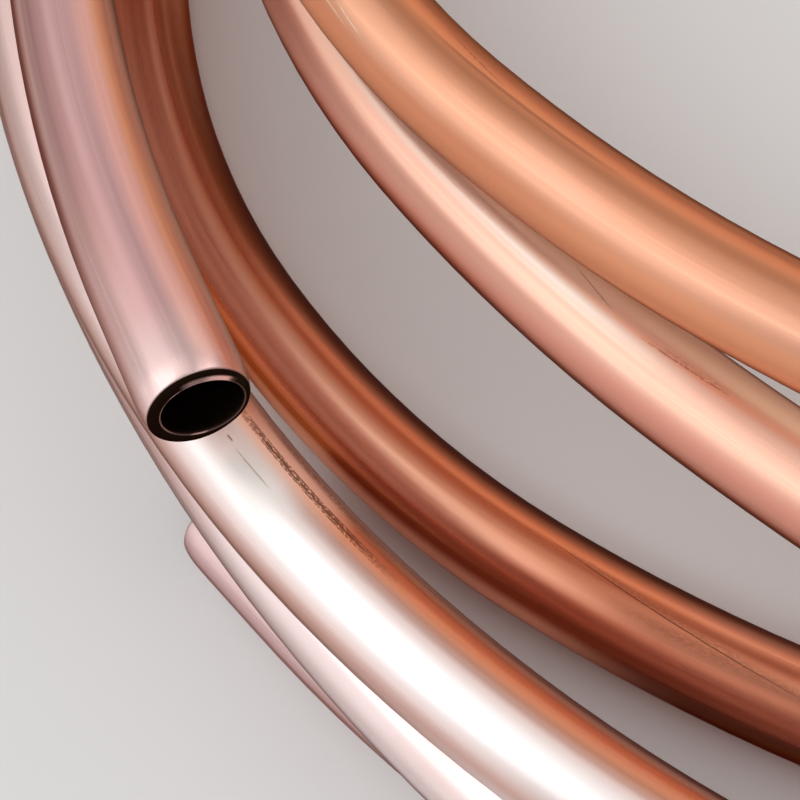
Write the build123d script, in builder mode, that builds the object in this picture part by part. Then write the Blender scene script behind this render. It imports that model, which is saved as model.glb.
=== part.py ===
"""Loose coil of soft copper tube, lying on its side, with both ends left open.

One length of tube is wound into six hoops that have slid and tipped out of a
neat stack.  Seen from above, the coil runs clockwise from its upper end down
to its lower end, and both ends come out on the same side of the ring.
"""

import os
from collections import namedtuple
from math import cos, pi, radians, sin, tan

from build123d import *

# The tube, in millimetres
tube_diameter = 10.0
wall = 1.0
deburr = 0.25  # bevel left inside each cut end
straight_end = 15.0  # last stretch of each end, past its last bend

# The coil
coil_radius = 130.0  # from the coil's axis to the middle of an average hoop
turns = 6
corners_per_turn = 18  # corners of the route, each rounded by one bend
bend_share = 0.45  # part of a run that the bend at either end may take

# Where the ends lie, in degrees.  The open side is the side they come out on,
# and the first and last corner of the route are counted from it along the winding.
open_side = 185.0
first_angle = 0.1
last_angle = 2172.9

# The route keeps to a hoop for this part of a turn each side of the open side,
# and slips to the next hoop in between
stay = 0.15

# Hoops in the order of the winding, from the upper end to the lower one, all in
# tube diameters, so that they keep clear of each other if the tube gets thicker.
# reach: how much wider than the coil the hoop is on the open side
# slide, bow: how far it has slid along the open side and away from it
# skew, oval: how far it is out of round
# level: height of its middle above the floor on the open side
# tip, droop: how its height changes along the open side and away from it
Hoop = namedtuple("Hoop", "reach slide bow skew oval level tip droop")
hoops = [
    Hoop(-0.04, 0.15, 0.59, 0.25, 0.52, 4.12, 1.16, 1.21),
    Hoop(-3.99, -0.07, 0.79, -1.10, 1.07, 3.27, -0.53, -0.41),
    Hoop(-3.32, 0.80, 0.00, -1.04, 1.52, 2.41, -0.14, -0.40),
    Hoop(-1.34, 0.42, -0.15, -1.73, 0.66, 0.55, 0.00, -0.09),
    Hoop(0.00, -0.02, 0.89, -0.53, 0.26, 2.76, -0.52, -0.78),
    Hoop(0.23, -0.65, 1.50, 0.10, 0.82, 1.71, -0.30, 0.33),
    Hoop(0.45, 0.05, 1.59, -0.92, 0.05, 0.61, -0.03, -0.12),
]


def ease(share):
    """Share of a slip that is done, gentle at both its ends"""
    share = min(max(share, 0.0), 1.0)
    return share**3 * (share * (6 * share - 15) + 10)


def hoop_radius(hoop, turned):
    """Radius of one hoop, in millimetres, at an angle from the open side"""
    slid = hoop.slide * sin(turned) + hoop.bow * (1 - cos(turned))
    out_of_round = hoop.skew * sin(2 * turned) + hoop.oval * (1 - cos(2 * turned))
    return coil_radius + tube_diameter * (hoop.reach + slid + out_of_round)


def hoop_height(hoop, turned):
    """Height of one hoop's middle, in millimetres, at an angle from the open side"""
    tipped = hoop.tip * sin(turned) + hoop.droop * (1 - cos(turned))
    return tube_diameter * (hoop.level + tipped)


def corner(wound, pushed_out):
    """Corner of the route at an angle wound from the open side"""
    upper = min(int(wound / 360), turns - 1)
    slipped = ease((wound / 360 - upper - stay) / (1 - 2 * stay))
    turned = radians(-wound)
    radius = height = 0.0
    for hoop, weight in ((hoops[upper], 1 - slipped), (hoops[upper + 1], slipped)):
        radius += weight * hoop_radius(hoop, turned)
        height += weight * hoop_height(hoop, turned)
    around = radians(open_side) + turned
    return Vector(radius * pushed_out * cos(around), radius * pushed_out * sin(around), height)


# Corners of the route.  A bend passes inside its corner, so the corners stand
# further out than the hoops do.
runs = turns * corners_per_turn
step = (last_angle - first_angle) / runs
corners = [corner(first_angle + step * i, 1 / cos(radians(step / 2))) for i in range(runs + 1)]

# Each bend is as large as its two runs allow
bends = []
for before, here, after in zip(corners, corners[1:], corners[2:]):
    shorter_run = min((here - before).length, (after - here).length)
    half_turn = radians((here - before).get_angle(after - here) / 2)
    bends.append(bend_share * shorter_run / tan(half_turn))


def cut_back(end, corner_before, bend, corner_after):
    """Tube's end, a straight end's length past its last bend"""
    half_turn = radians((corner_before - end).get_angle(corner_after - corner_before) / 2)
    kept = bend * tan(half_turn) + straight_end
    return corner_before + (end - corner_before).normalized() * kept


corners[0] = cut_back(corners[0], corners[1], bends[0], corners[2])
corners[-1] = cut_back(corners[-1], corners[-2], bends[-1], corners[-3])

with BuildPart() as wound_tube:
    with BuildLine() as route:
        FilletPolyline(*corners, radius=bends)
    with BuildSketch(Plane(corners[0], z_dir=corners[1] - corners[0])):
        Circle(tube_diameter / 2)
    sweep()
    # The bore runs the whole length and opens both ends
    cut_ends = wound_tube.faces().filter_by(GeomType.PLANE)
    offset(amount=-wall, openings=cut_ends)
    rims = [end.inner_wires()[0].edges() for end in wound_tube.faces().filter_by(GeomType.PLANE)]
    chamfer(rims, deburr)

# The floor is at height zero, and the origin is under the middle of the coil
box = wound_tube.part.bounding_box()
to_floor = Location((-box.center().X, -box.center().Y, -box.min.Z))
with BuildPart() as copper_tube:
    add(wound_tube.part.moved(to_floor))

copper_tube.part.label = "copper_tube"
os.makedirs("parts", exist_ok=True)
export_step(copper_tube.part, "parts/copper_tube.step")

length = route.wires()[0].length
section = pi * wall * (tube_diameter - wall)
print(f"tube length {length:.1f} mm, tightest bend {min(bends):.1f} mm")
print(f"volume {copper_tube.part.volume:.0f}, section times length {section * length:.0f}")
for name, end, inner in (("upper", corners[0], corners[1]), ("lower", corners[-1], corners[-2])):
    place = end + to_floor.position
    way = (end - inner).normalized()
    print(f"{name} end at ({place.X:.3f}, {place.Y:.3f}, {place.Z:.3f}),", end=" ")
    print(f"pointing ({way.X:.5f}, {way.Y:.5f}, {way.Z:.5f})")
print(f"coil {box.size.X:.1f} by {box.size.Y:.1f} by {box.size.Z:.1f} mm")
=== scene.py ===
"""Loose coil of bright soft copper tube on a pale floor, seen close up over its open end."""

from collections import namedtuple
from math import cos, degrees, pi, radians, sin

import bpy
from mathutils import Matrix, Vector


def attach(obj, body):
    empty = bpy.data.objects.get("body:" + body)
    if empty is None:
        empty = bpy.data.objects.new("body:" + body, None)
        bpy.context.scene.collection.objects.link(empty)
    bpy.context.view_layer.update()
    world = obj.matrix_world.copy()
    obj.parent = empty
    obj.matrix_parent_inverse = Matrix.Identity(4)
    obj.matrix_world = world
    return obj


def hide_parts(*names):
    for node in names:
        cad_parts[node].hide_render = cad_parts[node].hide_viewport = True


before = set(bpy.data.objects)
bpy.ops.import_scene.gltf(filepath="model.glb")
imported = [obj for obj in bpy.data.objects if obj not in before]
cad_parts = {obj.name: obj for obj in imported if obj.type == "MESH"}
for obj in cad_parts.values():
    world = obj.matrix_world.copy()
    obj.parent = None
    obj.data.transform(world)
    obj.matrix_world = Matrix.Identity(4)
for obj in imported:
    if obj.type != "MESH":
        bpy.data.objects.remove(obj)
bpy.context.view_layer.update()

# The tube, in metres
tube_diameter = 0.010
wall = 0.001
lip_shift, shift_side = 0.00054, radians(72)  # how far the lip in each mouth is off centre, and where
lip_oval, oval_side = 0.00020, radians(-55)  # how far it stands in where it is widest, and where
straight_end = 0.015  # last stretch of each end, past its last bend
coil_radius = 0.130
turns = 6
corners_per_turn = 18
bend_share = 0.45  # part of a run that the bend at either end may take

# Where the ends lie, in degrees, and the part of a turn that the route keeps to a hoop
# each side of the open side
open_side = 185.0
first_angle = 0.1
last_angle = 2172.9
stay = 0.15

# Hoops in the order of the winding, from the upper end down, in tube diameters
Hoop = namedtuple("Hoop", "reach slide bow skew oval level tip droop")
hoops = [
    Hoop(-0.04, 0.15, 0.59, 0.25, 0.52, 4.12, 1.16, 1.21),
    Hoop(-3.99, -0.07, 0.79, -1.10, 1.07, 3.27, -0.53, -0.41),
    Hoop(-3.32, 0.80, 0.00, -1.04, 1.52, 2.41, -0.14, -0.40),
    Hoop(-1.34, 0.42, -0.15, -1.73, 0.66, 0.55, 0.00, -0.09),
    Hoop(0.00, -0.02, 0.89, -0.53, 0.26, 2.76, -0.52, -0.78),
    Hoop(0.23, -0.65, 1.50, 0.10, 0.82, 1.71, -0.30, 0.33),
    Hoop(0.45, 0.05, 1.59, -0.92, 0.05, 0.61, -0.03, -0.12),
]

# Where the coil's own axis meets the floor
coil_axis = Vector((-0.014108, -0.007187, 0.000067))

# How finely the tube is made
sides = 48  # points round it
outer_spacing = 0.004  # between two rings of its skin
bore_spacing = 0.016  # between two rings of its bore


def ease(share):
    """Share of a change that is done, gentle at both its ends"""
    share = min(max(share, 0.0), 1.0)
    return share**3 * (share * (6 * share - 15) + 10)


def hoop_point(hoop, turned):
    """Radius and height of one hoop at an angle from the open side"""
    slid = hoop.slide * sin(turned) + hoop.bow * (1 - cos(turned))
    out_of_round = hoop.skew * sin(2 * turned) + hoop.oval * (1 - cos(2 * turned))
    radius = coil_radius + tube_diameter * (hoop.reach + slid + out_of_round)
    tipped = hoop.tip * sin(turned) + hoop.droop * (1 - cos(turned))
    return radius, tube_diameter * (hoop.level + tipped)


def route_corner(wound, pushed_out):
    """Corner of the tube's route at an angle wound from the open side"""
    upper = min(int(wound / 360), turns - 1)
    slipped = ease((wound / 360 - upper - stay) / (1 - 2 * stay))
    turned = radians(-wound)
    radius = height = 0.0
    for hoop, weight in ((hoops[upper], 1 - slipped), (hoops[upper + 1], slipped)):
        hoop_radius, hoop_height = hoop_point(hoop, turned)
        radius += weight * hoop_radius
        height += weight * hoop_height
    around = radians(open_side) + turned
    flat = radius * pushed_out
    return coil_axis + Vector((flat * cos(around), flat * sin(around), height))


def make_route():
    """Smooth line that the tube is wound along, and the lengths to leave off its two ends"""
    runs = turns * corners_per_turn
    step = (last_angle - first_angle) / runs
    pushed_out = 1 / cos(radians(step / 2))
    corners = [route_corner(first_angle + step * i, pushed_out) for i in range(runs + 1)]
    before, after = 2 * corners[0] - corners[1], 2 * corners[-1] - corners[-2]
    kept_runs = (corners[:2], corners[-2:])
    left_off = [(2 - bend_share) * (a - b).length - straight_end for a, b in kept_runs]
    points = [before, *corners, after]
    line = bpy.data.curves.new("tube_route", "CURVE")
    line.dimensions = "3D"
    line.resolution_u = 24
    spline = line.splines.new("NURBS")
    spline.points.add(len(points) - 1)
    for knot, point in zip(spline.points, points):
        knot.co = (*point, 1)
    spline.order_u = 3
    spline.use_endpoint_u = True
    route = bpy.data.objects.new("tube_route", line)
    bpy.context.scene.collection.objects.link(route)
    return route, left_off


def length_of(route):
    """Length of a curve object's line"""
    line = bpy.data.meshes.new_from_object(route)
    places = [vertex.co.copy() for vertex in line.vertices]
    bpy.data.meshes.remove(line)
    return sum((b - a).length for a, b in zip(places, places[1:]))


# How much near-black colour is painted on the inner lip and on the face beside it as their shade, and
# where it is lifted to let a glint show: angle round the tube, half width in degrees and what is left
# there
painted_rim_shade = {"lip": 0.84, "face": 1.0}
glint_places = {
    "lip": ((-45, 26, 0.0), (-108, 10, 0.0), (-80, 22, 0.40), (-160, 50, 0.66), (120, 14, 0.20)),
    "face": ((-43, 24, 0.0), (-72, 24, 0.60)),
}


def degrees_apart(turned, angle):
    """Degrees between an angle round the tube in radians and another in degrees"""
    return abs((degrees(turned) - angle + 180) % 360 - 180)


def rim_shade_left(place, turned):
    """How much painted shade there is at a place of the rim and an angle round the tube"""
    most = left = painted_rim_shade[place]
    for middle, half_width, at_middle in glint_places[place]:
        beside = degrees_apart(turned, middle) / half_width
        left = min(left, at_middle + (most - at_middle) * ease(beside * 2 - 1))
    return left


# Soft patches of painted light and shade, laid on the tube's mesh: the pale ones are painted
# highlights and reflected light, the dark ones painted shade and dark reflections. Middle and half
# length along the tube in metres, angle round it in degrees, drift in degrees to a metre, half
# width in metres, how strong it is, how dull it is, and its colour
PaintedPatch = namedtuple("PaintedPatch", "middle half_length angle drift half_width strength dull color")
# Dark colour painted as shade along the tubes' edges, and a brown that draws real lines and is also
# painted as edge shade
painted_edge_shade, brown_line_and_edge_shade = (0.28, 0.09, 0.045), (0.42, 0.16, 0.09)
painted_patches = [
    # along the upper end: painted light and shade on its flanks, painted shade on its edge, and a painted
    # highlight round its mouth
    PaintedPatch(0.0330, 0.0440, -76.0, 0, 0.0028, 0.60, 0.0, (0.84, 0.46, 0.46)),
    PaintedPatch(0.0330, 0.0440, -50.0, 0, 0.0012, 0.55, 0.0, (0.56, 0.30, 0.29)),
    PaintedPatch(0.0330, 0.0400, -31.0, 0, 0.0015, 0.70, 0.25, (0.90, 0.45, 0.22)),
    PaintedPatch(0.0250, 0.0440, -8.0, 0, 0.0016, 0.70, 0.35, (0.80, 0.42, 0.25)),
    PaintedPatch(0.0280, 0.0380, -102.0, 0, 0.0016, 0.40, 0.0, (0.62, 0.36, 0.35)),
    PaintedPatch(0.0350, 0.0500, 8.0, 0, 0.0020, 0.50, 0.1, painted_edge_shade),
    PaintedPatch(0.0440, 0.0400, -152.0, 0, 0.0022, 0.75, 0.0, (0.34, 0.16, 0.14)),
    PaintedPatch(0.0440, 0.0380, -107.0, 0, 0.0018, 0.75, 0.0, (0.42, 0.21, 0.20)),
    PaintedPatch(0.0000, 0.0080, -100.0, 0, 0.0065, 0.30, 0.0, (0.96, 0.84, 0.80)),
    # along the two inner hoops: painted light on their flanks, a painted highlight, and painted shade on
    # their edges and over part of a highlight
    PaintedPatch(0.7900, 0.0800, -156.0, 0, 0.0031, 0.92, 0.62, (0.98, 0.42, 0.22)),
    PaintedPatch(0.7800, 0.0800, -64.0, 0, 0.0026, 0.80, 0.0, (0.72, 0.27, 0.13)),
    PaintedPatch(0.7750, 0.0450, -86.0, 0, 0.0022, 0.45, 0.0, (0.62, 0.24, 0.12)),
    PaintedPatch(0.7600, 0.0500, -12.0, 0, 0.0024, 0.75, 0.1, painted_edge_shade),
    PaintedPatch(1.4950, 0.0700, -142.0, 0, 0.0026, 0.90, 0.60, (0.99, 0.46, 0.34)),
    PaintedPatch(1.5250, 0.0300, -164.0, 0, 0.0020, 0.85, 0.0, (0.56, 0.14, 0.07)),
    PaintedPatch(1.5160, 0.0350, -74.0, 0, 0.0022, 0.90, 0.1, (1.00, 0.92, 0.82)),
    PaintedPatch(1.5200, 0.0300, -124.0, 0, 0.0016, 0.75, 0.2, (1.00, 0.62, 0.48)),
    PaintedPatch(1.4950, 0.0600, -46.0, 0, 0.0026, 0.98, 0.90, (1.00, 0.66, 0.44)),
    PaintedPatch(1.4900, 0.0700, -8.0, 0, 0.0020, 0.60, 0.1, brown_line_and_edge_shade),
    PaintedPatch(1.4950, 0.0700, -177.0, 0, 0.0013, 0.70, 0.1, painted_edge_shade),
    # along the low hoop: painted shade and dark reflections, and lighter bands of painted light
    PaintedPatch(2.2450, 0.0450, -46.0, 0, 0.0016, 0.60, 0.0, (0.90, 0.29, 0.13)),
    PaintedPatch(2.2250, 0.0360, -68.0, 0, 0.0014, 0.50, 0.0, (0.66, 0.20, 0.09)),
    PaintedPatch(2.2500, 0.0900, -8.0, 0, 0.0033, 0.88, 0.1, (0.13, 0.04, 0.02)),
    PaintedPatch(2.3000, 0.0380, -28.0, 0, 0.0020, 0.65, 0.0, (0.22, 0.065, 0.03)),
    PaintedPatch(2.2980, 0.0320, -106.0, 0, 0.0018, 0.92, 0.0, (0.24, 0.04, 0.01)),
    PaintedPatch(2.2620, 0.0750, -110.0, 0, 0.0026, 0.60, 0.0, (0.52, 0.08, 0.015)),
    PaintedPatch(2.2480, 0.0560, -123.0, 0, 0.0012, 0.80, 0.0, (0.24, 0.04, 0.01)),
    PaintedPatch(2.2420, 0.0320, -152.0, 0, 0.0020, 0.95, 0.75, (0.98, 0.44, 0.27)),
    PaintedPatch(2.2040, 0.0260, -148.0, 0, 0.0030, 0.80, 0.0, (0.14, 0.045, 0.025)),
    PaintedPatch(2.2060, 0.0280, -86.0, 300, 0.0017, 0.70, 0.0, (0.22, 0.06, 0.03)),
    PaintedPatch(2.2740, 0.0560, -83.0, 100, 0.0020, 0.92, 0.0, (1.00, 0.56, 0.39)),
    # along the hoop below the upper mouth: a painted highlight, a painted warm reflection, painted shade
    # on its edge, and pale dull patches painted as light over the dark reflection of the mouth
    PaintedPatch(3.0200, 0.1200, -98.0, 0, 0.0038, 0.80, 0.0, (0.98, 0.93, 0.91)),
    PaintedPatch(2.9980, 0.0740, -166.0, 0, 0.0022, 0.95, 0.85, (1.00, 0.88, 0.86)),
    PaintedPatch(3.0480, 0.1200, -44.0, 240, 0.0029, 0.92, 0.0, (0.72, 0.28, 0.15)),
    PaintedPatch(3.0790, 0.0110, -34.0, 0, 0.0022, 0.85, 0.5, (0.98, 0.60, 0.46)),
    PaintedPatch(2.9850, 0.1000, -6.0, 0, 0.0025, 0.85, 0.1, (0.16, 0.055, 0.03)),
    PaintedPatch(3.0815, 0.0105, -80.0, 0, 0.0037, 0.85, 0.55, (1.00, 0.93, 0.88)),
    # on the hoop on the floor: painted shade on its edge and a painted highlight line
    PaintedPatch(4.0000, 0.0700, -172.0, 0, 0.0018, 0.90, 0.0, (0.26, 0.12, 0.12)),
    PaintedPatch(4.0400, 0.0360, -126.0, 0, 0.0022, 0.65, 0.0, (0.66, 0.36, 0.34)),
    PaintedPatch(3.9700, 0.0400, -147.0, 0, 0.0011, 0.60, 0.2, (0.98, 0.84, 0.86)),
]

# Fine marks, drawn by the material: the same as for a patch of painted light, and how worn through it is
Mark = namedtuple("Mark", "middle half_length angle drift half_width worn strength dull color")
dark_scuff, pale_scratch = (0.10, 0.035, 0.018), (0.95, 0.76, 0.62)
fine_marks = [
    # scuffed strip, nick and scratch beside the open end
    Mark(3.0755, 0.0160, -42.0, 200, 0.00040, 0.43, 0.88, 0.3, (0.17, 0.055, 0.028)),
    Mark(3.0750, 0.0140, -19.0, 300, 0.00080, 0.42, 0.62, 0.2, (0.30, 0.10, 0.05)),
    Mark(3.0755, 0.0150, -46.0, 200, 0.00010, 0.50, 0.85, 0.3, dark_scuff),
    Mark(3.0755, 0.0140, -38.5, 200, 0.00009, 0.44, 0.85, 0.3, dark_scuff),
    Mark(3.0838, 0.0006, -70.3, 0, 0.00014, 0.42, 0.75, 0.3, (0.34, 0.12, 0.08)),
    Mark(3.0800, 0.0032, -72.4, 0, 0.00009, 0.34, 0.60, 0.2, brown_line_and_edge_shade),
    # lines and scratches on the two inner hoops
    Mark(0.7895, 0.0160, -63.5, 0, 0.00030, 0.25, 0.80, 0.2, brown_line_and_edge_shade),
    Mark(0.7962, 0.0050, -52.7, 1180, 0.00013, 0.46, 0.80, 0.2, brown_line_and_edge_shade),
    Mark(0.8110, 0.0030, -128.0, 900, 0.00010, 0.40, 0.80, 0.2, pale_scratch),
    Mark(0.8085, 0.0026, -122.0, 1300, 0.00009, 0.42, 0.80, 0.2, pale_scratch),
    Mark(1.4985, 0.0034, -66.0, 2100, 0.00010, 0.40, 0.55, 0.2, (0.26, 0.10, 0.07)),
    Mark(1.4870, 0.0060, -73.3, -620, 0.00012, 0.46, 0.70, 0.2, (0.30, 0.13, 0.09)),
    Mark(1.4866, 0.0056, -69.8, -620, 0.00036, 0.50, 0.34, 0.1, (0.40, 0.20, 0.15)),
    # fine dark streak on the low hoop
    Mark(2.2164, 0.0190, -64.5, 1170, 0.00010, 0.36, 0.80, 0.3, dark_scuff),
    Mark(2.2170, 0.0160, -60.0, 1170, 0.00045, 0.52, 0.50, 0.2, brown_line_and_edge_shade),
    Mark(2.2100, 0.0140, -78.0, 150, 0.00080, 0.50, 0.45, 0.2, (0.32, 0.12, 0.07)),
]

# Share of its half length and of its half width that a patch of painted light or a mark has at full
# strength
full_length, full_width = 0.35, 0.25
worn_edge = 0.06  # how softly a fine mark ends where it is worn through
wear_grain = (2400.0, 6500.0, 6500.0)  # specks of wear to a metre, along the tube and across it

# Colour of each hoop, in the order of the winding: one copper with its light painted in, pink and pale
# where cool light falls (the first and the last three, with a painted highlight), orange where warm
# light falls (the second and third), and dark on the fourth as its painted shade
hoop_colors_with_painted_light = [
    (0.86, 0.55, 0.52), (0.74, 0.36, 0.22), (0.86, 0.50, 0.38), (0.64, 0.175, 0.07),
    (0.94, 0.75, 0.72), (0.94, 0.77, 0.75), (0.86, 0.60, 0.60),
]
# Colours over them: of patches, tarnish and lines, the near black painted as shade on the sawn face
# and bore, and the tint of the gloss where the copper is dulled
pale_patch, tarnish, dull_band = (0.94, 0.70, 0.60, 1), (0.72, 0.33, 0.23, 1), (0.70, 0.32, 0.22, 1)
dark_line, rim_and_bore_shade_color, gloss_tint = (0.50, 0.20, 0.12, 1), (0.022, 0.011, 0.007, 1), (0.16, 0.08, 0.05, 1)


def fading(distance, reach, full_share):
    """One out to a share of the reach, and fading softly from there to nothing at the reach"""
    share = min(max((reach - distance) / (reach - reach * full_share), 0.0), 1.0)
    return share * share * (3 - 2 * share)


def painted_light_at(along, turned):
    """Colour of the painted light and shade at a place, share of the copper that shows, and dulled share
    """
    paint, clear, dulled = (0.0, 0.0, 0.0), 1.0, 0.0
    for painted_light in painted_patches:
        off = abs(along - painted_light.middle)
        if off >= painted_light.half_length:
            continue
        course = painted_light.angle + painted_light.drift * (along - painted_light.middle)
        beside = radians(degrees_apart(turned, course)) * tube_diameter / 2
        there = fading(off, painted_light.half_length, full_length) * fading(beside, painted_light.half_width, full_width)
        share = there * painted_light.strength
        paint = tuple(old * (1 - share) + new * share for old, new in zip(paint, painted_light.color))
        clear *= 1 - share
        dulled = max(dulled, there * painted_light.dull)
    return paint, clear, dulled


def tube_rings(length):
    """Rings of the wall, over both rims: place along it, radius, share of the lip's shift, how much
    painted shade
    """
    outer, inner = tube_diameter / 2, tube_diameter / 2 - wall
    # Skin that the cutting wheel has rolled in at an end: how far back, and how far in
    skin = [(0.0032, 0.0), (0.0022, 0.000015), (0.0016, 0.00005), (0.0011, 0.00011), (0.0007, 0.00017)]
    skin += [(0.0004, 0.000225), (0.00018, 0.00028)]
    # Sawn face, and the lip that the wheel has pressed into the bore: the same, share of the lip's
    # shift, and how much painted shade it has or which place of the rim it is
    face = [(0.00005, 0.00033, 0.0, 0.5), (0.0, 0.00038, 0.0, 1.0), (0.0, 0.00078, 0.7, 1.0)]
    face += [(0.0, 0.00094, 0.9, "face"), (0.0, 0.00125, 1.0, "face"), (0.0, 0.00128, 1.0, "lip")]
    face += [(0.00002, 0.00136, 1.0, "lip"), (0.00007, 0.00142, 1.0, 1.0), (0.0002, 0.00148, 1.0, 1.0)]
    face += [(0.0004, 0.0015, 1.0, 1.0), (0.0009, 0.0014, 0.8, 1.0), (0.0018, 0.0011, 0.3, 1.0)]
    face += [(0.003, wall, 0.0, 1.0)]
    rim = [(back, outer - sunk, 0.0, 0.0) for back, sunk in skin]
    rim += [(back, outer - sunk, share, finish) for back, sunk, share, finish in face]
    rings = rim[::-1]
    count = round(length / outer_spacing)
    rings += [(length * i / count, outer, 0.0, 0.0) for i in range(1, count)]
    rings += [(length - back, radius, share, finish) for back, radius, share, finish in rim]
    # The bore, painted in full shade
    count = round(length / bore_spacing)
    rings += [(length * i / count, inner, 0.0, 1.0) for i in range(count - 1, 0, -1)]
    return rings


def lay_finish(mesh, rings, around, length):
    """Attributes that the material reads: the painted shade on the cut rims and bore, which turn it is,
    and its patches of painted light and shade
    """

    def lay(name, kind, part, values):
        """Stores a value for each point"""
        mesh.attributes.new(name, kind, "POINT").data.foreach_set(part, values)

    places = [(along, turned) for along, *_ in rings for turned in around]
    rim_and_bore_shade = []
    for *_, finish in rings:
        glinting = finish in glint_places
        rim_and_bore_shade += [rim_shade_left(finish, turned) if glinting else finish for turned in around]
    # Patches of painted light and shade at each point
    painted = [painted_light_at(along, turned) for along, turned in places]
    lay("rim_and_bore_shade", "FLOAT", "value", rim_and_bore_shade)
    lay("turn", "FLOAT", "value", [turns * along / length for along, _ in places])
    lay("painted_light", "FLOAT_VECTOR", "vector", [part for paint, _, _ in painted for part in paint])
    lay("unpainted", "FLOAT", "value", [clear for _, clear, _ in painted])
    lay("dulled", "FLOAT", "value", [dulled for _, _, dulled in painted])


def straight_tube(length):
    """The tube before it is wound: a lathed wall along X, closed over both cut rims"""
    rings = tube_rings(length)
    around = [2 * pi * i / sides for i in range(sides)]
    aside = (lip_shift * cos(shift_side), lip_shift * sin(shift_side))
    points = []
    for along, radius, share, _ in rings:
        for turned in around:
            reach = radius - share * lip_oval * cos(2 * (turned - oval_side))
            y, z = reach * cos(turned) + share * aside[0], reach * sin(turned) + share * aside[1]
            points.append((along, y, z))
    faces = []
    for ring in range(len(rings)):
        start, after = ring * sides, (ring + 1) % len(rings) * sides
        for i in range(sides):
            j = (i + 1) % sides
            faces.append((start + i, start + j, after + j, after + i))
    mesh = bpy.data.meshes.new("copper_tube_wound")
    mesh.from_pydata(points, [], faces)
    mesh.polygons.foreach_set("use_smooth", [True] * len(faces))
    lay_finish(mesh, rings, around, length)
    tube = bpy.data.objects.new("copper_tube_wound", mesh)
    bpy.context.scene.collection.objects.link(tube)
    return tube


class Nodes:
    """Short way to place and join the nodes of one tree"""

    def __init__(self, tree):
        self.tree = tree

    def add(self, kind, inputs=(), **values):
        """New node, with some of its properties and inputs set"""
        made = self.tree.nodes.new(kind)
        for name, value in values.items():
            setattr(made, name, value)
        for name, value in dict(inputs).items():
            self.feed(made.inputs[name], value)
        return made

    def feed(self, socket, value):
        """Gives an input a value, or joins an output to it"""
        if isinstance(value, bpy.types.NodeSocket):
            self.tree.links.new(value, socket)
        else:
            socket.default_value = value

    def math(self, operation, *values):
        """Result of one sum"""
        return self.add("ShaderNodeMath", dict(enumerate(values)), operation=operation).outputs[0]

    def vector(self, operation, inputs):
        """Result of one sum with vectors"""
        return self.add("ShaderNodeVectorMath", inputs, operation=operation).outputs[0]

    def ranged(self, value, low, high, to_low=0.0, to_high=1.0):
        """A value eased from one range to another"""
        given = {"Value": value, "From Min": low, "From Max": high, "To Min": to_low, "To Max": to_high}
        return self.add("ShaderNodeMapRange", given, interpolation_type="SMOOTHSTEP").outputs[0]

    def mixed(self, share, first, second):
        """Mix of two colours"""
        made = self.add("ShaderNodeMix", data_type="RGBA")
        for index, value in ((0, share), (6, first), (7, second)):
            self.feed(made.inputs[index], value)
        return made.outputs[2]


def winding_tree():
    """Geometry nodes that bend a straight tube along a route"""
    tree = bpy.data.node_groups.new("wind the tube", "GeometryNodeTree")
    sockets = {"Straight tube": "Geometry", "Route": "Object"}
    sockets |= {"Left off the start": "Float", "Finish": "Material"}
    for name, kind in sockets.items():
        tree.interface.new_socket(name, in_out="INPUT", socket_type="NodeSocket" + kind)
    tree.interface.new_socket("Wound tube", in_out="OUTPUT", socket_type="NodeSocketGeometry")
    nodes = Nodes(tree)
    given, result = nodes.add("NodeGroupInput").outputs, nodes.add("NodeGroupOutput")
    route = nodes.add("GeometryNodeObjectInfo", {"Object": given["Route"]}, transform_space="ORIGINAL")
    place = nodes.add("GeometryNodeInputPosition").outputs[0]
    parts = nodes.add("ShaderNodeSeparateXYZ", {0: place}).outputs
    along = nodes.math("ADD", parts["X"], given["Left off the start"])
    sampled = {"Curves": route.outputs["Geometry"], "Length": along}
    line = nodes.add("GeometryNodeSampleCurve", sampled, mode="LENGTH", use_all_curves=True).outputs
    across = nodes.vector("CROSS_PRODUCT", {0: line["Tangent"], 1: line["Normal"]})
    sideways = nodes.vector("SCALE", {0: line["Normal"], "Scale": parts["Y"]})
    upward = nodes.vector("SCALE", {0: across, "Scale": parts["Z"]})
    wound = nodes.vector("ADD", {0: nodes.vector("ADD", {0: line["Position"], 1: sideways}), 1: upward})
    kept = {"Geometry": given["Straight tube"], "Name": "skin", "Value": place}
    keep = nodes.add("GeometryNodeStoreNamedAttribute", kept, data_type="FLOAT_VECTOR", domain="POINT")
    bend = nodes.add("GeometryNodeSetPosition", {"Geometry": keep.outputs[0], "Position": wound})
    real = nodes.add("GeometryNodeRealizeInstances", {0: bend.outputs[0]})
    finish = nodes.add("GeometryNodeSetMaterial", {0: real.outputs[0], "Material": given["Finish"]})
    nodes.feed(result.inputs["Wound tube"], finish.outputs[0])
    return tree


def new_group(name, inputs, outputs):
    """Empty shader group with named sockets"""
    tree = bpy.data.node_groups.new(name, "ShaderNodeTree")
    for socket, kind in inputs.items():
        tree.interface.new_socket(socket, in_out="INPUT", socket_type="NodeSocket" + kind)
    for socket, kind in outputs.items():
        tree.interface.new_socket(socket, in_out="OUTPUT", socket_type="NodeSocket" + kind)
    return tree, Nodes(tree)


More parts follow.
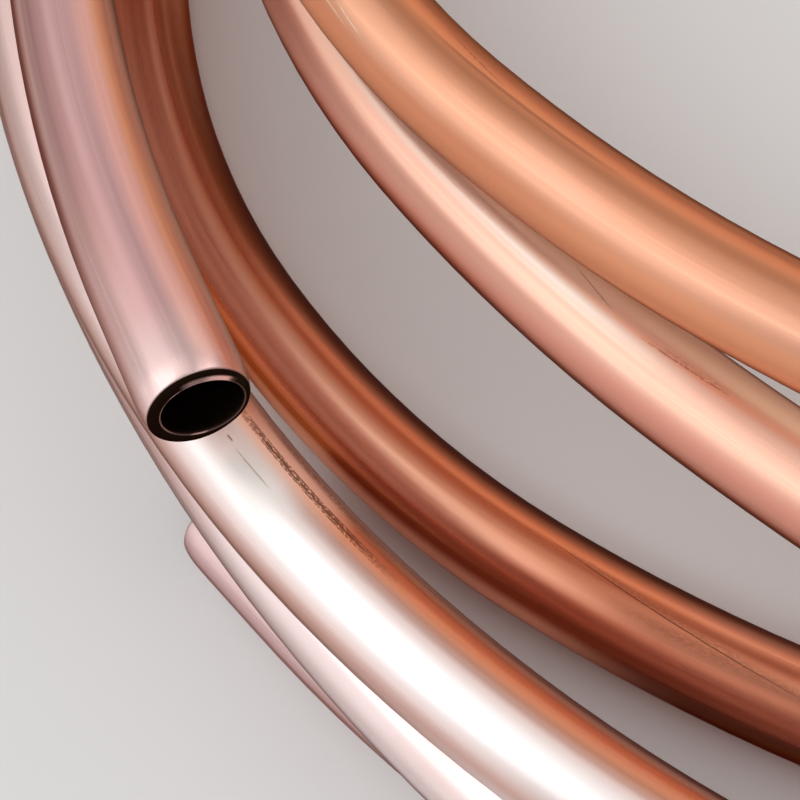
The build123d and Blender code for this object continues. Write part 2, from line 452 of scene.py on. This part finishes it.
def drawn_lines_group():
    """Uneven lines along the tube, from its die: so many to a metre round it and along it"""
    sockets = {"Skin": "Vector", "Round": "Float", "Along": "Float", "Seed": "Float", "Detail": "Float"}
    tree, nodes = new_group("drawn lines", sockets, {"Lines": "Float"})
    given, end = nodes.add("NodeGroupInput").outputs, nodes.add("NodeGroupOutput")
    scale = nodes.add("ShaderNodeCombineXYZ", {0: given["Along"], 1: given["Round"], 2: given["Round"]})
    place = nodes.vector("MULTIPLY", {0: given["Skin"], 1: scale.outputs[0]})
    drawn = {"Vector": place, "W": given["Seed"], "Scale": 1.0, "Detail": given["Detail"]}
    noise = nodes.add("ShaderNodeTexNoise", drawn, noise_dimensions="4D")
    nodes.feed(end.inputs["Lines"], noise.outputs[0])
    return tree


def long_mark_group():
    """One fine mark along the tube, such as a scratch or a scuff, worn through in places"""
    sockets = ("Along", "Turned", "Wear", "Middle", "Half length", "Angle", "Drift", "Half width", "Worn")
    tree, nodes = new_group("long mark", {socket: "Float" for socket in sockets}, {"Mark": "Float"})
    given, end = nodes.add("NodeGroupInput").outputs, nodes.add("NodeGroupOutput")
    along = nodes.math("SUBTRACT", given["Along"], given["Middle"])
    course = nodes.math("MULTIPLY_ADD", along, given["Drift"], given["Angle"])
    beside = nodes.math("SUBTRACT", given["Turned"], course)
    across = nodes.math("MULTIPLY", nodes.math("ABSOLUTE", beside), tube_diameter / 2)
    full = nodes.math("MULTIPLY", given["Half width"], full_width)
    within_width = nodes.ranged(across, given["Half width"], full)
    full = nodes.math("MULTIPLY", given["Half length"], full_length)
    within_length = nodes.ranged(nodes.math("ABSOLUTE", along), given["Half length"], full)
    less_worn = nodes.math("SUBTRACT", given["Worn"], worn_edge)
    left = nodes.ranged(given["Wear"], less_worn, given["Worn"])
    mark = nodes.math("MULTIPLY", nodes.math("MULTIPLY", within_width, within_length), left)
    nodes.feed(end.inputs["Mark"], mark)
    return tree


def add_fine_marks(nodes, skin, color, dulled):
    """Draws the fine marks over a colour, and dulls the copper where they are"""
    mark_tree = long_mark_group()
    places = nodes.add("ShaderNodeSeparateXYZ", {0: skin}).outputs
    turned = nodes.math("ARCTAN2", places["Z"], places["Y"])
    worn_place = nodes.vector("MULTIPLY", {0: skin, 1: wear_grain})
    wear = nodes.add("ShaderNodeTexNoise", {"Vector": worn_place, "Scale": 1.0, "Detail": 2.0}).outputs[0]
    for mark in fine_marks:
        made = nodes.add("ShaderNodeGroup", node_tree=mark_tree)
        given = {"Along": places["X"], "Turned": turned, "Wear": wear, "Worn": mark.worn}
        given |= {"Middle": mark.middle, "Half length": mark.half_length, "Half width": mark.half_width}
        given |= {"Angle": radians(mark.angle), "Drift": radians(mark.drift)}
        for name, value in given.items():
            nodes.feed(made.inputs[name], value)
        there = made.outputs["Mark"]
        color = nodes.mixed(nodes.math("MULTIPLY", there, mark.strength), color, (*mark.color, 1))
        dulled = nodes.math("MAXIMUM", dulled, nodes.math("MULTIPLY", there, mark.dull))
    return color, dulled


def copper_finish():
    """Bright soft copper, drawn through a die, with a little tarnish and handling marks, and light and
    shade painted into its colour
    """
    material = bpy.data.materials.new("bright_copper")
    material.use_nodes = True
    shader = material.node_tree.nodes["Principled BSDF"]
    nodes = Nodes(material.node_tree)
    lines_tree = drawn_lines_group()

    def stored(name, output="Fac"):
        """Attribute of the tube's mesh"""
        return nodes.add("ShaderNodeAttribute", attribute_name=name).outputs[output]

    skin, rim_and_bore_shade = stored("skin", "Vector"), stored("rim_and_bore_shade")

    def lines(around, along, seed, detail=1.0):
        """Drawn lines, so many to a metre round the tube and along it"""
        made = nodes.add("ShaderNodeGroup", node_tree=lines_tree)
        given = {"Skin": skin, "Round": around, "Along": along, "Seed": seed, "Detail": detail}
        for name, value in given.items():
            nodes.feed(made.inputs[name], value)
        return made.outputs["Lines"]

    # Colour of each hoop, with the light and shade that falls on it painted in
    ramp = nodes.add("ShaderNodeValToRGB", {0: nodes.math("DIVIDE", stored("turn"), float(turns))})
    stops = ramp.color_ramp.elements
    while len(stops) < len(hoop_colors_with_painted_light):
        stops.new(0.5)
    for i, color in enumerate(hoop_colors_with_painted_light):
        stops[i].position = i / turns
        stops[i].color = (*color, 1)
    bands = lines(450.0, 7.0, seed=1.0)
    fine = lines(2200.0, 16.0, seed=2.0, detail=2.0)
    hair = lines(7000.0, 40.0, seed=3.0)
    patches = lines(140.0, 30.0, seed=4.0, detail=2.0)
    color = nodes.mixed(nodes.ranged(patches, 0.50, 0.70, 0.0, 0.20), ramp.outputs[0], pale_patch)
    color = nodes.mixed(nodes.ranged(patches, 0.46, 0.30, 0.0, 0.30), color, tarnish)
    color = nodes.mixed(nodes.ranged(bands, 0.38, 0.24, 0.0, 0.25), color, dull_band)
    color = nodes.mixed(nodes.ranged(fine, 0.34, 0.22, 0.0, 0.35), color, dark_line)
    # Patches of painted light and shade, laid over the copper's colour
    showing = nodes.vector("SCALE", {0: color, "Scale": stored("unpainted")})
    color = nodes.vector("ADD", {0: showing, 1: stored("painted_light", "Vector")})
    color, dulled = add_fine_marks(nodes, skin, color, stored("dulled"))
    # The cut rims and the bore are painted near black as their shade
    nodes.feed(shader.inputs["Base Color"], nodes.mixed(rim_and_bore_shade, color, rim_and_bore_shade_color))
    nodes.feed(shader.inputs["Metallic"], nodes.math("SUBTRACT", 1.0, dulled))
    shader.inputs["Specular Tint"].default_value = gloss_tint

    rougher_lines = nodes.ranged(fine, 0.3, 0.7, 0.26, 0.36)
    rough = nodes.math("ADD", rougher_lines, nodes.ranged(hair, 0.4, 0.7, 0.0, 0.05))
    rougher_places = nodes.math("MULTIPLY", nodes.math("ADD", rim_and_bore_shade, dulled), 0.25)
    nodes.feed(shader.inputs["Roughness"], nodes.math("ADD", rough, rougher_places))

    # Depth of the lines, in metres
    height = nodes.math("MULTIPLY", bands, 0.000012)
    height = nodes.math("MULTIPLY_ADD", fine, 0.0000016, height)
    height = nodes.math("MULTIPLY_ADD", hair, 0.0000005, height)
    bump = nodes.add("ShaderNodeBump", {"Strength": 1.0, "Distance": 1.0, "Height": height})
    nodes.feed(shader.inputs["Normal"], bump.outputs[0])
    return material


def wind_tube(finish):
    """The tube, wound along its route and made a plain mesh"""
    route, left_off = make_route()
    tube = straight_tube(length_of(route) - sum(left_off))
    winding = tube.modifiers.new("wind the tube", "NODES")
    winding.node_group = winding_tree()
    given = {"Route": route, "Left off the start": left_off[0], "Finish": finish}
    for item in winding.node_group.interface.items_tree:
        if item.name in given:
            winding[item.identifier] = given[item.name]
    depsgraph = bpy.context.evaluated_depsgraph_get()
    wound = bpy.data.meshes.new_from_object(tube.evaluated_get(depsgraph))
    tube.modifiers.clear()
    straight = tube.data
    tube.data = wound
    bpy.data.meshes.remove(straight)
    bpy.data.objects.remove(route)
    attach(tube, "root")
    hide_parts("copper_tube")


def make_floor():
    """Plain pale floor"""
    material = bpy.data.materials.new("floor")
    material.use_nodes = True
    shader = material.node_tree.nodes["Principled BSDF"]
    shader.inputs["Base Color"].default_value = (0.76, 0.75, 0.74, 1)
    shader.inputs["Roughness"].default_value = 0.6
    half = 3.0
    corners = [(-half, -half, 0), (half, -half, 0), (half, half, 0), (-half, half, 0)]
    mesh = bpy.data.meshes.new("floor")
    mesh.from_pydata(corners, [], [(0, 1, 2, 3)])
    mesh.materials.append(material)
    floor = bpy.data.objects.new("floor", mesh)
    bpy.context.scene.collection.objects.link(floor)


def aim_camera():
    """Camera at the photograph's place over the upper end"""
    tilt, roll, focal_pixels, image_width = radians(29.15), radians(34.73), 2022.0, 800.0
    eye = coil_axis + Vector((-0.1158, -0.0926, 0.1856))
    forward = Vector((0, sin(tilt), -cos(tilt)))
    # Sideways and downwards in the picture before the camera is rolled
    level, down = Vector((1, 0, 0)), Vector((0, -cos(tilt), -sin(tilt)))
    right = cos(roll) * level + sin(roll) * down
    up = sin(roll) * level - cos(roll) * down
    lens = bpy.data.cameras.new("camera")
    lens.sensor_width = 36.0
    lens.lens = focal_pixels / image_width * lens.sensor_width
    lens.clip_start = 0.01
    camera = bpy.data.objects.new("camera", lens)
    turn = Matrix((right, up, -forward)).transposed().to_4x4()
    camera.matrix_world = Matrix.Translation(eye) @ turn
    bpy.context.scene.collection.objects.link(camera)
    bpy.context.scene.camera = camera


def softbox(name, azimuth, elevation, distance, size, brightness, color=(1, 1, 1)):
    """Soft lamp turned to the coil, of the brightness that it shows in a mirror"""
    light = bpy.data.lights.new(name, "AREA")
    light.shape = "RECTANGLE"
    light.size, light.size_y = size
    light.color = color
    light.energy = brightness * pi * light.size * light.size_y
    lamp = bpy.data.objects.new(name, light)
    around, up = radians(azimuth), radians(elevation)
    away = Vector((cos(up) * cos(around), cos(up) * sin(around), sin(up)))
    lamp.location = away * distance
    lamp.rotation_euler = (-away).to_track_quat("-Z", "Y").to_euler()
    bpy.context.scene.collection.objects.link(lamp)


def light_studio():
    """Plain pale surroundings and soft lamps"""
    world = bpy.data.worlds.new("studio")
    world.use_nodes = True
    background = world.node_tree.nodes["Background"].inputs
    background["Color"].default_value = (0.50, 0.50, 0.50, 1)
    background["Strength"].default_value = 1.0
    bpy.context.scene.world = world
    cool, warm = (0.96, 0.98, 1.0), (1.0, 0.70, 0.48)
    # Azimuth and elevation in degrees, distance and size in metres, brightness and colour
    softbox("main_softbox", 152, 50, 1.02, (1.45, 0.95), 0.45, cool)
    softbox("inner_softbox", 162, 50, 1.0, (0.75, 0.72), 0.75, cool)
    softbox("low_softbox", 166, 10, 1.0, (0.80, 0.46), 0.55, cool)
    softbox("top_softbox", 90, 72, 1.0, (0.6, 0.5), 0.50)
    softbox("right_softbox", 8, 38, 1.0, (0.4, 0.7), 1.0)
    softbox("warm_softbox", 42, 16, 1.0, (0.6, 0.6), 0.56, warm)
    softbox("front_softbox", -75, 50, 1.0, (1.2, 0.8), 0.9)


make_floor()
wind_tube(copper_finish())
aim_camera()
light_studio()
bpy.context.scene.view_settings.view_transform = "Standard"
